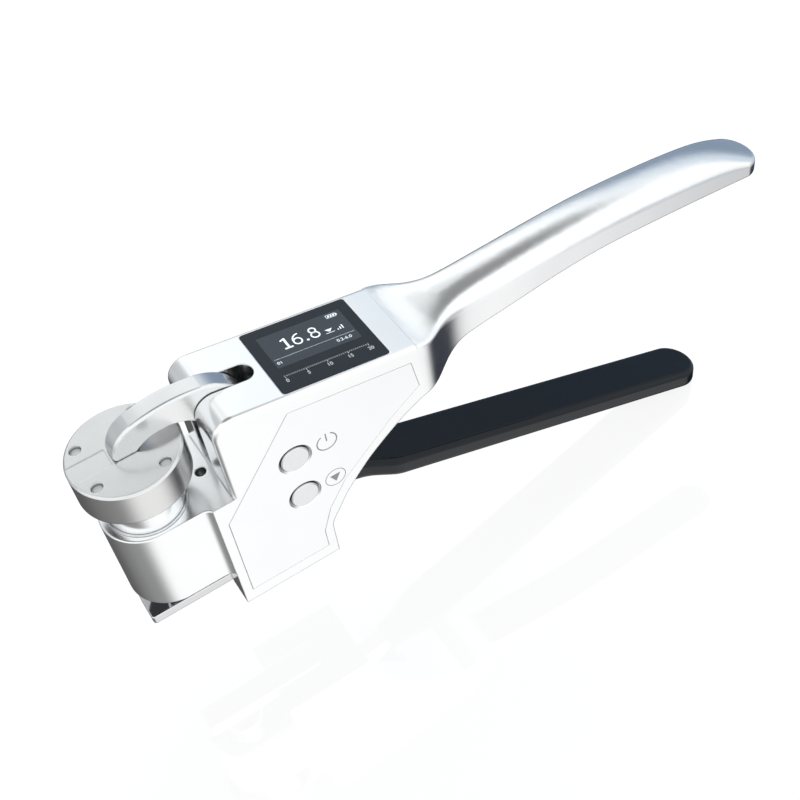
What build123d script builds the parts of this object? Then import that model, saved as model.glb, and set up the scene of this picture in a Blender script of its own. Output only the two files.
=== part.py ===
"""Hand-held pliers hardness tester, built as separate solids in one shared frame.

Frame of the part: +Z up along the penetrator axis, +X from the penetrator to the
handles, +Y to the plain side. The origin is the middle of the anvil's working face.
All sizes are in millimetres.
"""
import math
import os

from build123d import *

# ---------------------------------------------------------------- clearances
RUN_FIT = 0.05        # radial gap of a shaft or plunger that runs in its bore
SIDE_GAP = 0.25       # gap each side of the lever in its slot
SEAT_GAP = 0.10       # gap round a part set into a pocket
COVER_GAP = 0.06      # gap round the side cover
BUTTON_GAP = 0.14     # gap round each button in the cover
BODY_GAP = 0.40       # gap between parts that pass each other without touching
PAD_GAP = 0.10        # gap between the resting lever and the cap
OVERRUN = 20.0        # how far a cutting or trimming block runs past the piece it shapes

# ---------------------------------------------------------------- frame
BODY_W = 30.0         # width of the body, Y
FRAME_BOTTOM = -4.5   # underside of the body
FRONT_X = 13.8        # front face of the body below the ledge
EAR_X = 20.5          # front face of the two ears above the ledge
LEDGE_Z = 43.7        # ledge and top of the nose
TOP_X = 29.5          # a point of the sloping top face
TOP_Z = 74.1
TOP_SLOPE = 9.83      # slope of the top face, degrees, down to the rear
EAR_R = 6.0           # rounding at the top front of the ears
EDGE_R = 1.6          # rounding of the long top edges
BODY_END_X = 84.0     # where the body passes into the handle neck
REAR_X = 46.8         # rear of the foot
REAR_FOOT_Z = 7.4
REAR_CURVE = ((49.8, 14.1), (52.9, 18.8), (56.9, 23.5), (62.8, 29.5), (68.7, 34.2), (74.7, 38.4))
REAR_END_Z = 43.2     # underside at the neck

# ---------------------------------------------------------------- nose
NOSE_X = -0.9         # centre of the nose's round end
NOSE_STEP = 1.6       # step from the body's side to the nose's side
NOSE_R = BODY_W / 2 - NOSE_STEP
NOSE_WALL = 1.4       # wall of the nose round the guide bush
NOSE_BOTTOM = 11.7
NOSE_FLARE_R = 3.4    # hollow in which the nose flanks run out to the body's sides
NOSE_RIM_R = 0.5      # rounding of the nose's top edge

# ---------------------------------------------------------------- plunger train
BUSH_R = NOSE_R - NOSE_WALL
BUSH_T = 0.65
NECK_R = BUSH_R - BUSH_T
BUSH_L = 12.0
BUSH_PROUD = 0.3
SPRING_SEAT_Z = 20.0  # shoulder that carries the return spring
STEM_R = 7.0
FOOT_Z = 7.0          # resting height of the pressing foot over the anvil
FOOT_T = 1.5
NECK_BOTTOM = 36.5
CAP_R = 16.4
CAP_BOTTOM = 56.5
CAP_TOP = 67.9
CAP_ROOF = 3.6
CAP_CHAMFER = 0.6
CAP_CHANNEL_X = -4.4   # end of the shallow channel that leads to the claw
CAP_CHANNEL_W = 6.4
CAP_CHANNEL_D = 0.15
FLANGE_R = 15.6
FLANGE_T = 2.5
CHAMBER_R = 11.0
PIN_R = 1.75          # cap pins and their holes
PIN_RING_R = 13.3
PIN_ANGLES = (54.7, 145.0, -145.0, -54.7)
PIN_SUNK = 1.1
PIN_DEPTH = 1.8       # depth of the pins in the flange
SPRING_BORE_R = 5.2
SPRING_BORE_Z = 23.4
SPINDLE_R = 3.0
SPINDLE_Z = 9.0
SPINDLE_HEAD_R = 4.5
SPINDLE_HEAD_Z = 24.0
SPINDLE_HEAD_T = 2.0
ROD_R = 1.2
ROD_TOP = 59.5
MAGNET_R = 1.8
MAGNET_T = 2.0
NEEDLE_R = 1.0
NEEDLE_PROUD = 0.55   # how far the needle stands below the foot
NEEDLE_CONE = 30.0    # half angle of the needle's point, degrees
ADJUSTER_Z = 44.0
ADJUSTER_T = 8.0
LOAD_WIRE = 1.5
LOAD_TURNS = 7.0
RETURN_WIRE = 1.6
RETURN_STEP = 1.75    # from the neck's edge to the middle of the return spring's wire
RETURN_TURNS = 4.5
BOARD_R = 10.4
BOARD_T = 1.2

# ---------------------------------------------------------------- jaw and anvil
JAW_W = 11.0
JAW_TIP_X = -13.4
JAW_ROOT_X = 32.0
JAW_TOP = -0.35
JAW_EDGE_R = 1.6
JAW_TOP_CHAMFER = 0.25
ANVIL_R = 3.2
ANVIL_DEPTH = 2.6
JAW_SCREW_XS = (18.5, 27.5)
JAW_SCREW_R = 1.5
JAW_SCREW_HEAD_R = 2.8
JAW_SCREW_HEAD_T = 1.7
JAW_SCREW_TOP = 5.0

# ---------------------------------------------------------------- lever
LEVER_T = 6.2         # thickness of the lever plate, Y
PIVOT_X = 38.0
PIVOT_Z = 24.0
HUB_R = 8.0
PIVOT_R = 3.0
PIVOT_BUSH_R = 4.2
PIVOT_HEAD_R = 4.6
PIVOT_HEAD_T = 2.6
PIVOT_WALL = 1.2      # wall between the pivot's blind end and the electronics pocket
CLAW_EDGE_R = 0.9
CLAW_TIP = (-3.7, 69.0)
CLAW_TOE_X = -2.7     # the pad touches the cap between toe and heel
CLAW_HEEL_X = 2.8
CLAW_BROW = (-1.6, 73.9)
CLAW_CREST = (3.6, 77.4)
CLAW_REAR = (25.0, 78.0)
CLAW_SHOULDER = (37.4, 63.0)
CLAW_ARCH = ((7.0, 70.4), (11.5, 71.1), (15.6, 70.5), (19.8, 68.3))
LEVER_FRONT = ((22.6, 64.2), (24.2, 57.0), (26.6, 46.0), (28.8, 36.0), (30.6, 27.5))
LEVER_BACK = ((39.2, 50.0), (42.0, 38.0), (46.2, 28.6), (56.0, 20.0))
LEVER_UNDER = ((46.0, 12.8), (36.0, 16.2))
LEVER_ROOM = ((24.0, 40.0), (27.0, 30.0), (27.0, 18.0), (31.0, 13.2), (40.0, 9.6), (70.0, -2.0), (70.0, 30.0),
              (57.5, 36.0))
SLOT_FRONT_RISE = 1.2  # step of the slot's mouth above the ledge
SLOT_FRONT_RUN = 1.6
SLOT_END_Z = 62.0     # foot of the slot's rear end
TANG_END_X = 168.0
TANG_H = 4.6
SLOT_END_X = 40.8     # rear end of the arm slot in the top face

# ---------------------------------------------------------------- handles
HANDLE_W = 16.8
HANDLE_END_X = 211.7  # centre of the handle's round end
HANDLE_END_R = 8.6
HANDLE_TIP_R = 2.2      # rounding of the top edge of the handle's end
HANDLE_TIP_Z = 53.0     # height that parts the end's top edge from its bottom edge
GRIP_ROOT_X = 60.0
GRIP_TIP_X = 194.3
GRIP_SLOPE = 19.6     # degrees below the horizontal
GRIP_REF_X = 111.8
GRIP_REF_TOP = -1.7
GRIP_H = 7.4
GRIP_R = 2.0
GRIP_ROOT_W = 10.4
GRIP_FLARE_X = 80.0

# upper handle stations: x, width, underside, start of the crown, top, squareness
STATIONS = (
    (84.0, 30.0, 43.2, 63.16, 64.76, 7.0),
    (87.0, 29.7, 44.1, 62.4, 64.3, 6.0),
    (90.0, 27.7, 45.1, 61.8, 64.1, 5.0),
    (93.0, 24.3, 46.2, 61.3, 64.2, 4.2),
    (96.0, 21.0, 47.6, 60.9, 64.6, 3.5),
    (99.0, 18.7, 49.0, 60.65, 65.05, 3.0),
    (102.0, 17.4, 50.1, 60.45, 65.5, 2.7),
    (106.0, 16.8, 50.9, 60.4, 66.0, 2.5),
    (116.0, 16.8, 52.2, 60.4, 66.8, 2.35),
    (135.0, 16.8, 54.5, 61.3, 67.8, 2.25),
    (154.0, 16.8, 55.6, 61.9, 68.1, 2.25),
    (173.0, 16.8, 54.9, 61.0, 67.1, 2.25),
    (192.0, 16.8, 53.6, 59.4, 65.2, 2.2),
    (207.0, 16.8, 52.4, 57.0, 61.6, 2.2),
    (216.0, 16.8, 51.6, 54.4, 57.2, 2.2),
    (222.0, 16.8, 51.0, 52.6, 54.2, 2.2),
)

# ---------------------------------------------------------------- display and electronics
GLASS_L = 33.6
GLASS_W = 26.8
GLASS_T = 1.5
GLASS_CENTRE_X = 59.8
GLASS_CORNER = 1.0
MODULE_L = 30.0
MODULE_W = 23.0
MODULE_T = 2.6
COVER_T = 1.2
COVER_PATH = ((16.8, 0.2), (43.8, 0.2), (43.8, 8.2), (47.3, 17.0), (54.1, 26.4), (71.9, 41.2), (83.0, 48.6),
              (81.4, 59.4), (42.2, 66.0), (16.8, 35.0))
POCKET_RIM = 2.2      # land the cover sits on
POCKET_DEPTH = 8.0
BUTTON_X = 40.9
BUTTON_POWER_Z = 46.5
BUTTON_SELECT_Z = 29.5
BUTTON_R = 4.45
BUTTON_DISH_R = 5.5
BUTTON_FLANGE_R = 5.6
BUTTON_FLANGE_T = 0.8
BUTTON_PROUD = 0.2
BUTTON_TRAVEL = 0.5
SWITCH_W = 6.0
SWITCH_T = 1.5
PCB_T = 1.0
PCB_X0 = 31.5
PCB_X1 = 54.0
PCB_Z0 = 24.6
PCB_Z1 = 60.0
PCB_SCREW_R = 1.0
PCB_BOSS_R = 2.4
PCB_SCREW_HEAD_R = 1.7
PCB_SCREWS = ((40.6, 56.9), (51.2, 49.5), (34.4, 38.7))
RIBBON_IN = 0.7       # from the module's front end to the ribbon
RIBBON_W = 4.0
RIBBON_T = 0.3
RIBBON_LAP = 4.0      # length of ribbon that lies on the circuit board
CELL_X0 = 19.4
CELL_X1 = 30.6
CELL_Z0 = 3.0
CELL_Z1 = 33.0
CELL_T = 5.0
SENSOR_HOLE_X = 17.3
SENSOR_HOLE_R = 1.7
SENSOR_HOLE_DEPTH = 9.0

# ---------------------------------------------------------------- derived values
HALF_W = BODY_W / 2
HALF_H = HANDLE_W / 2
POCKET_FLOOR_Y = POCKET_DEPTH - HALF_W
PIVOT_END_Y = POCKET_FLOOR_Y + PIVOT_WALL + 0.2
RIBBON_X0 = GLASS_CENTRE_X - MODULE_L / 2 + RIBBON_IN
RIBBON_X1 = RIBBON_X0 + RIBBON_W
TAN_TOP = math.tan(math.radians(TOP_SLOPE))
SLOT_W = LEVER_T + 2 * SIDE_GAP


def top_z(x):
    """Height of the sloping top face at x."""
    return TOP_Z - (x - TOP_X) * TAN_TOP


def side_face(points):
    """Face in the XZ plane from a closed list of (x, z) points."""
    return make_face(Polyline([(x, 0, z) for x, z in points], close=True))


def in_side(point):
    """Point of the XZ plane from (x, z)."""
    return (point[0], 0, point[1])


def plate(points, width):
    """Plate of a side outline, its thickness along Y about the mid-plane."""
    return extrude(side_face(points), amount=width / 2, dir=(0, 1, 0), both=True)


def rod(radius, z0, z1, x=0.0, y=0.0):
    """Upright cylinder from z0 to z1."""
    return Location((x, y, (z0 + z1) / 2)) * Cylinder(radius, z1 - z0)


def cross_rod(radius, y0, y1, x, z):
    """Cylinder along Y between y0 and y1."""
    return Location((x, (y0 + y1) / 2, z), (90, 0, 0)) * Cylinder(radius, abs(y1 - y0))


def block(x0, x1, y0, y1, z0, z1):
    """Box between two corners."""
    return Location(((x0 + x1) / 2, (y0 + y1) / 2, (z0 + z1) / 2)) * Box(x1 - x0, y1 - y0, z1 - z0)


def on_top(depth, length, width, height, corner):
    """Rounded slab parallel to the top face, its upper side at the given depth below it."""
    spot = Plane(origin=(GLASS_CENTRE_X, 0, top_z(GLASS_CENTRE_X)),
                 x_dir=(math.cos(math.radians(TOP_SLOPE)), 0, -math.sin(math.radians(TOP_SLOPE))),
                 z_dir=(math.sin(math.radians(TOP_SLOPE)), 0, math.cos(math.radians(TOP_SLOPE))))
    slab = extrude(RectangleRounded(length, width, corner), amount=height)
    return spot.location * Location((0, 0, -depth - height)) * slab


def coil(radius, wire, z0, z1, turns):
    """Round-wire compression spring whose wire lies between z0 and z1."""
    rise = z1 - z0 - wire
    path = Helix(pitch=rise / turns, height=rise, radius=radius)
    start = Plane(origin=path @ 0, z_dir=path % 0)
    spring = sweep(start * Circle(wire / 2), path, is_frenet=True)
    return spring.moved(Location((0, 0, z0 + wire / 2)))


def inset(points, amount):
    """Side outline moved inwards by amount."""
    return offset(side_face(points), amount=-amount, kind=Kind.INTERSECTION)


# ---------------------------------------------------------------- frame
def crown_section(station):
    """Closed cross-section of the handle: flat underside and flanks, crowned top."""
    x, width, bottom, crown, top, power = station
    half = width / 2
    lift = top - crown
    steps = [math.radians(a) for a in (0, 6, 14, 26, 42, 64, 90, 116, 138, 154, 166, 174, 180)]
    points = []
    for a in steps:
        c, s = math.cos(a), abs(math.sin(a))
        y = half * math.copysign(abs(c) ** (2 / power), c) if abs(c) > 1e-9 else 0.0
        points.append((x, y, crown + lift * s ** (2 / power)))
    points[0] = (x, half, crown)
    points[-1] = (x, -half, crown)
    roof = Spline(points)
    left = Line((x, -half, crown), (x, -half, bottom))
    floor = Line((x, -half, bottom), (x, half, bottom))
    right = Line((x, half, bottom), (x, half, crown))
    return make_face([roof, left, floor, right])


def body_block():
    """Body without its nose: ears, ledge, foot and curved rear."""
    rear_start = (REAR_X, 0, REAR_FOOT_Z)
    rear = Spline([rear_start] + [(x, 0, z) for x, z in REAR_CURVE] + [(BODY_END_X, 0, REAR_END_Z)],
                  tangents=[(0, 0, 1), (1, 0, 0.45)])
    rest = Polyline([(BODY_END_X, 0, REAR_END_Z), (BODY_END_X, 0, top_z(BODY_END_X)),
                     (EAR_X, 0, top_z(EAR_X)), (EAR_X, 0, LEDGE_Z), (FRONT_X, 0, LEDGE_Z),
                     (FRONT_X, 0, FRAME_BOTTOM), (REAR_X, 0, FRAME_BOTTOM), rear_start])
    body = extrude(make_face([rear, rest]), amount=HALF_W, dir=(0, 1, 0), both=True)
    ear_edge = [e for e in body.edges().filter_by(Axis.Y)
                if abs(e.center().X - EAR_X) < 0.1 and e.center().Z > LEDGE_Z + 5]
    body = fillet(ear_edge, EAR_R)
    long_edges = [e for e in body.edges() if abs(abs(e.center().Y) - HALF_W) < 0.01
                  and e.center().Z > LEDGE_Z + 1 and e.center().X < BODY_END_X - 5
                  and e.center().Z > top_z(e.center().X) - 26 and e.center().X > EAR_X - 0.1
                  and (e.center().X < EAR_X + 5 or abs(e.center().Z - top_z(e.center().X)) < 1)]
    return fillet(long_edges, EDGE_R)


def upper_handle():
    """Handle that grows out of the body."""
    bar = loft([crown_section(s) for s in STATIONS])
    low = REAR_END_Z - OVERRUN
    high = TOP_Z + OVERRUN
    plan = block(BODY_END_X, HANDLE_END_X, -HALF_W, HALF_W, low, high) + rod(HANDLE_END_R, low, high, HANDLE_END_X)
    bar = bar & plan
    rim = [e for e in bar.edges() if e.center().X > HANDLE_END_X + 2 and e.center().Z > HANDLE_TIP_Z]
    return fillet(rim, HANDLE_TIP_R)


def lever_slot():
    """Space the lever plate moves in."""
    high = TOP_Z + OVERRUN
    mouth_z = LEDGE_Z + SLOT_FRONT_RISE
    outline = ((EAR_X - 2, high), (EAR_X - 2, mouth_z), (EAR_X + SLOT_FRONT_RUN, mouth_z), *LEVER_ROOM,
               (SLOT_END_X, SLOT_END_Z), (SLOT_END_X, high))
    slot = plate(outline, SLOT_W)
    round_end = rod(SLOT_W / 2, SLOT_END_Z, high, SLOT_END_X - SLOT_W / 2)
    square_end = block(SLOT_END_X - SLOT_W / 2, SLOT_END_X + 1, -SLOT_W / 2, SLOT_W / 2, SLOT_END_Z, high)
    return slot - (square_end - round_end)


def nose_block():
    """Round nose whose flanks flare out to the body's sides."""
    nose = rod(NOSE_R, NOSE_BOTTOM, LEDGE_Z, NOSE_X)
    nose = nose + block(NOSE_X, FRONT_X + 1, -NOSE_R, NOSE_R, NOSE_BOTTOM, LEDGE_Z)
    flare_x = FRONT_X - math.sqrt(2 * NOSE_FLARE_R * NOSE_STEP - NOSE_STEP ** 2)
    flare = block(flare_x, FRONT_X + 1, -HALF_W, HALF_W, NOSE_BOTTOM, LEDGE_Z)
    for side in (-1, 1):
        flare = flare - rod(NOSE_FLARE_R, NOSE_BOTTOM - 1, LEDGE_Z + 1, flare_x, side * (NOSE_R + NOSE_FLARE_R))
    nose = nose + flare
    rim = [e for e in nose.edges() if abs(e.center().Z - LEDGE_Z) < 0.01 and e.center().X < FRONT_X - 0.01]
    return fillet(rim, NOSE_RIM_R)


def make_frame():
    """One-piece body with the nose, both ears and the upper handle."""
    frame = body_block() + upper_handle() + nose_block()
    frame = frame - rod(BUSH_R, SPRING_SEAT_Z, LEDGE_Z + 1)
    frame = frame - rod(STEM_R + RUN_FIT, NOSE_BOTTOM - 1, SPRING_SEAT_Z + 1)
    frame = frame - lever_slot()
    frame = frame - rod(SENSOR_HOLE_R, LEDGE_Z - SENSOR_HOLE_DEPTH, LEDGE_Z + 1, SENSOR_HOLE_X)
    # channel and screw holes of the jaw
    frame = frame - block(FRONT_X - 1, JAW_ROOT_X, -JAW_W / 2, JAW_W / 2, FRAME_BOTTOM - 1, JAW_TOP)
    for x in JAW_SCREW_XS:
        frame = frame - rod(JAW_SCREW_R, JAW_TOP - 1, JAW_SCREW_TOP, x)
    # cover recess and electronics pocket in the near side
    frame = frame - extrude(side_face(COVER_PATH), amount=COVER_T + 5, dir=(0, -1, 0)).moved(
        Location((0, -HALF_W + COVER_T, 0)))
    pocket = extrude(inset(COVER_PATH, POCKET_RIM), amount=HALF_W + POCKET_FLOOR_Y, dir=(0, -1, 0))
    frame = frame - pocket.moved(Location((0, POCKET_FLOOR_Y, 0)))
    for x, z in PCB_SCREWS:
        frame = frame + cross_rod(PCB_BOSS_R, POCKET_FLOOR_Y, pcb_y0() + PCB_T, x, z)
        frame = frame - cross_rod(PCB_SCREW_R, POCKET_FLOOR_Y, -HALF_W, x, z)
    # display seat, with a way through for its ribbon
    frame = frame - on_top(0, GLASS_L + 2 * SEAT_GAP, GLASS_W + 2 * SEAT_GAP, GLASS_T, GLASS_CORNER + SEAT_GAP)
    frame = frame - on_top(GLASS_T - 0.1, MODULE_L + 2 * SEAT_GAP, MODULE_W + 2 * SEAT_GAP, MODULE_T + 0.1, 0.6)
    frame = frame - block(RIBBON_X0 - BODY_GAP, RIBBON_X1 + BODY_GAP, pcb_y0() - 1.2, pcb_y0() + 0.8, PCB_Z1,
                          top_z(RIBBON_X0) - GLASS_T)
    # pivot bore from the plain side
    frame = frame - cross_rod(PIVOT_R + RUN_FIT, PIVOT_END_Y - 0.2, HALF_W + 1, PIVOT_X, PIVOT_Z)
    frame = frame - cross_rod(PIVOT_HEAD_R + SEAT_GAP, HALF_W - PIVOT_HEAD_T, HALF_W + 1, PIVOT_X, PIVOT_Z)
    return frame


# ---------------------------------------------------------------- jaw, anvil
def make_jaw():
    """Steel jaw, flat on top and rounded below, let into the underside of the body."""
    bar = block(JAW_TIP_X, JAW_ROOT_X - SEAT_GAP, -JAW_W / 2, JAW_W / 2, FRAME_BOTTOM, JAW_TOP)
    lower = [e for e in bar.edges().filter_by(Axis.X) if e.center().Z < JAW_TOP - 1]
    bar = fillet(lower, JAW_EDGE_R)
    tips = [e for e in bar.edges().filter_by(Axis.Z) if e.center().X < 0]
    bar = fillet(tips, 1.0)
    bar = chamfer(bar.faces().sort_by(Axis.Z)[-1].edges(), JAW_TOP_CHAMFER)
    bar = bar - rod(ANVIL_R, -ANVIL_DEPTH, 1)
    for x in JAW_SCREW_XS:
        bar = bar - rod(JAW_SCREW_R + SEAT_GAP, FRAME_BOTTOM - 1, 0, x)
        bar = bar - rod(JAW_SCREW_HEAD_R + SEAT_GAP, FRAME_BOTTOM - 1, FRAME_BOTTOM + JAW_SCREW_HEAD_T, x)
    return bar


def make_anvil():
    """Hardened pad whose upper face is the working face."""
    pad = rod(ANVIL_R, -ANVIL_DEPTH, 0)
    return chamfer(pad.edges().sort_by(Axis.Z)[-1], 0.15)


def make_jaw_screws():
    """Two socket screws that hold the jaw from below."""
    screws = []
    for x in JAW_SCREW_XS:
        screw = rod(JAW_SCREW_R, FRAME_BOTTOM + 0.3, JAW_SCREW_TOP, x)
        screw = screw + rod(JAW_SCREW_HEAD_R, FRAME_BOTTOM + 0.1, FRAME_BOTTOM + JAW_SCREW_HEAD_T, x)
        socket = extrude(RegularPolygon(1.25, 6), amount=1.0)
        screws.append(screw - Location((x, 0, FRAME_BOTTOM + 0.1)) * socket)
    return screws


# ---------------------------------------------------------------- plunger train
def make_guide_bush():
    """Bush pressed into the nose that guides the neck."""
    bush = rod(BUSH_R, LEDGE_Z - BUSH_L, LEDGE_Z + BUSH_PROUD)
    bush = bush - rod(NECK_R + RUN_FIT, 0, LEDGE_Z + 5)
    return bush


def make_plunger():
    """Flange, neck, stem and foot in one piece."""
    body = rod(STEM_R, FOOT_Z, NECK_BOTTOM + 1) + rod(NECK_R, NECK_BOTTOM, CAP_BOTTOM)
    body = body + rod(FLANGE_R, CAP_BOTTOM, CAP_BOTTOM + FLANGE_T)
    body = body - rod(SPRING_BORE_R, SPRING_BORE_Z, CAP_BOTTOM + FLANGE_T + 1)
    body = body - rod(SPINDLE_R + RUN_FIT, FOOT_Z + FOOT_T, SPRING_BORE_Z + 1)
    body = body - rod(NEEDLE_R + RUN_FIT, FOOT_Z - 1, FOOT_Z + FOOT_T + 1)
    for x, y in pin_spots():
        body = body - rod(PIN_R, CAP_BOTTOM + FLANGE_T - PIN_DEPTH, CAP_TOP, x, y)
    foot_rim = [e for e in body.edges().filter_by(GeomType.CIRCLE)
                if abs(e.center().Z - FOOT_Z) < 0.01 and e.radius > STEM_R - 0.1]
    return chamfer(foot_rim, 0.8)


def pin_spots():
    """Centres of the cap pins."""
    turns = [math.radians(a) for a in PIN_ANGLES]
    return [(PIN_RING_R * math.cos(a), PIN_RING_R * math.sin(a)) for a in turns]


def make_cap():
    """Round cap the lever presses on."""
    cap = rod(CAP_R, CAP_BOTTOM, CAP_TOP)
    cap = cap - rod(FLANGE_R, CAP_BOTTOM - 1, CAP_BOTTOM + FLANGE_T)
    cap = cap - rod(CHAMBER_R, CAP_BOTTOM, CAP_TOP - CAP_ROOF)
    for x, y in pin_spots():
        cap = cap - rod(PIN_R, CAP_BOTTOM, CAP_TOP + 1, x, y)
    rim = [e for e in cap.edges().filter_by(GeomType.CIRCLE)
           if abs(e.center().Z - CAP_TOP) < 0.01 and e.radius > CAP_R - 0.1]
    cap = chamfer(rim, CAP_CHAMFER)
    half = CAP_CHANNEL_W / 2
    return cap - block(-CAP_R - 1, CAP_CHANNEL_X, -half, half, CAP_TOP - CAP_CHANNEL_D, CAP_TOP + 1)


def make_cap_pins():
    """Four pins that tie the cap to the flange."""
    return [rod(PIN_R, CAP_BOTTOM + FLANGE_T - PIN_DEPTH, CAP_TOP - PIN_SUNK, x, y) for x, y in pin_spots()]


def make_spindle():
    """Spindle that carries the needle below and the magnet above."""
    body = rod(SPINDLE_R, SPINDLE_Z, SPINDLE_HEAD_Z + 1)
    body = body + rod(SPINDLE_HEAD_R, SPINDLE_HEAD_Z, SPINDLE_HEAD_Z + SPINDLE_HEAD_T)
    body = body + rod(ROD_R, SPINDLE_HEAD_Z, ROD_TOP)
    return body - rod(NEEDLE_R, SPINDLE_Z - 1, SPINDLE_Z + 4)


def make_needle():
    """Hardened penetrator needle with a conical point."""
    tip_z = FOOT_Z - NEEDLE_PROUD
    cone_h = NEEDLE_R / math.tan(math.radians(NEEDLE_CONE))
    shank = rod(NEEDLE_R, tip_z + cone_h, SPINDLE_Z + 4)
    point = Location((0, 0, tip_z + cone_h / 2)) * Cone(0.06, NEEDLE_R, cone_h)
    return shank + point


def make_magnet():
    """Magnet at the top of the spindle."""
    return rod(MAGNET_R, ROD_TOP, ROD_TOP + MAGNET_T)


def make_load_spring():
    """Spring that loads the needle."""
    mean_r = SPINDLE_HEAD_R - LOAD_WIRE / 2 + 0.2
    return coil(mean_r, LOAD_WIRE, SPINDLE_HEAD_Z + SPINDLE_HEAD_T, ADJUSTER_Z, LOAD_TURNS)


def make_load_adjuster():
    """Slotted plug that sets the load of the needle."""
    plug = rod(SPRING_BORE_R, ADJUSTER_Z, ADJUSTER_Z + ADJUSTER_T)
    top = ADJUSTER_Z + ADJUSTER_T
    plug = plug - rod(ROD_R + BODY_GAP, ADJUSTER_Z - OVERRUN, top + OVERRUN)
    return plug - block(-SPRING_BORE_R, SPRING_BORE_R, -0.6, 0.6, top - 1.4, top + 1)


def make_return_spring():
    """Spring that lifts the plunger and the lever."""
    return coil(NECK_R - RETURN_STEP, RETURN_WIRE, SPRING_SEAT_Z, NECK_BOTTOM, RETURN_TURNS)


def make_sensor_board():
    """Round board that reads the magnet, fixed under the roof of the cap."""
    roof = CAP_TOP - CAP_ROOF
    board = rod(BOARD_R, roof - BOARD_T, roof)
    chip = block(-1.5, 1.5, -1.5, 1.5, roof - BOARD_T - 0.8, roof - BOARD_T)
    return board + chip


# ---------------------------------------------------------------- lever
def grip_top(x):
    """Height of the grip's upper face at x."""
    return GRIP_REF_TOP - (x - GRIP_REF_X) * math.tan(math.radians(GRIP_SLOPE))


def make_lever():
    """Steel lever: hooked arm, web, hub and tang in one plate."""
    pad = CAP_TOP + PAD_GAP
    tang_mid = grip_top(TANG_END_X) - GRIP_H / 2 / math.cos(math.radians(GRIP_SLOPE))
    root_mid = grip_top(GRIP_ROOT_X) - GRIP_H / 2 / math.cos(math.radians(GRIP_SLOPE))
    nose = ThreePointArc(in_side(CLAW_TIP), in_side(CLAW_BROW), in_side(CLAW_CREST))
    crest = TangentArc(in_side(CLAW_CREST), in_side(CLAW_REAR), tangent=nose % 1)
    shoulder = TangentArc(in_side(CLAW_REAR), in_side(CLAW_SHOULDER), tangent=crest % 1)
    tip = Line((CLAW_TOE_X, 0, pad), in_side(CLAW_TIP))
    foot = Line((CLAW_HEEL_X, 0, pad), (CLAW_TOE_X, 0, pad))
    arch = Spline([*map(in_side, reversed(CLAW_ARCH)), (CLAW_HEEL_X, 0, pad)])
    front = Spline([*map(in_side, reversed(LEVER_FRONT)), in_side(CLAW_ARCH[-1])])
    back = Spline([*map(in_side, (CLAW_SHOULDER, *LEVER_BACK))])
    below = Polyline([in_side(LEVER_BACK[-1]), (GRIP_ROOT_X, 0, root_mid + TANG_H / 2),
                      (TANG_END_X, 0, tang_mid + TANG_H / 2), (TANG_END_X, 0, tang_mid - TANG_H / 2),
                      (GRIP_ROOT_X, 0, root_mid - TANG_H / 2), *map(in_side, LEVER_UNDER),
                      in_side(LEVER_FRONT[-1])])
    face = make_face([nose, crest, shoulder, tip, foot, arch, front, back, below])
    lever = extrude(face, amount=LEVER_T / 2, dir=(0, 1, 0), both=True)
    lever = lever + cross_rod(HUB_R, -LEVER_T / 2, LEVER_T / 2, PIVOT_X, PIVOT_Z)
    rounded = [e for e in lever.edges() if abs(abs(e.center().Y) - LEVER_T / 2) < 0.01
               and e.center().Z > CLAW_ARCH[1][1] and e.geom_type == GeomType.CIRCLE]
    lever = fillet(rounded, CLAW_EDGE_R)
    return lever - cross_rod(PIVOT_BUSH_R, -LEVER_T, LEVER_T, PIVOT_X, PIVOT_Z)


def make_pivot_bush():
    """Bearing bush pressed into the lever."""
    bush = cross_rod(PIVOT_BUSH_R, -LEVER_T / 2, LEVER_T / 2, PIVOT_X, PIVOT_Z)
    return bush - cross_rod(PIVOT_R + RUN_FIT, -LEVER_T, LEVER_T, PIVOT_X, PIVOT_Z)


def make_pivot_screw():
    """Pivot pin with a socket head let into the plain side."""
    pin = cross_rod(PIVOT_R, PIVOT_END_Y, HALF_W - 1, PIVOT_X, PIVOT_Z)
    pin = pin + cross_rod(PIVOT_HEAD_R, HALF_W - PIVOT_HEAD_T, HALF_W - 0.3, PIVOT_X, PIVOT_Z)
    socket = Location((PIVOT_X, HALF_W - 0.3, PIVOT_Z), (90, 0, 0)) * extrude(RegularPolygon(2.2, 6), amount=1.6)
    return pin - socket


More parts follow.
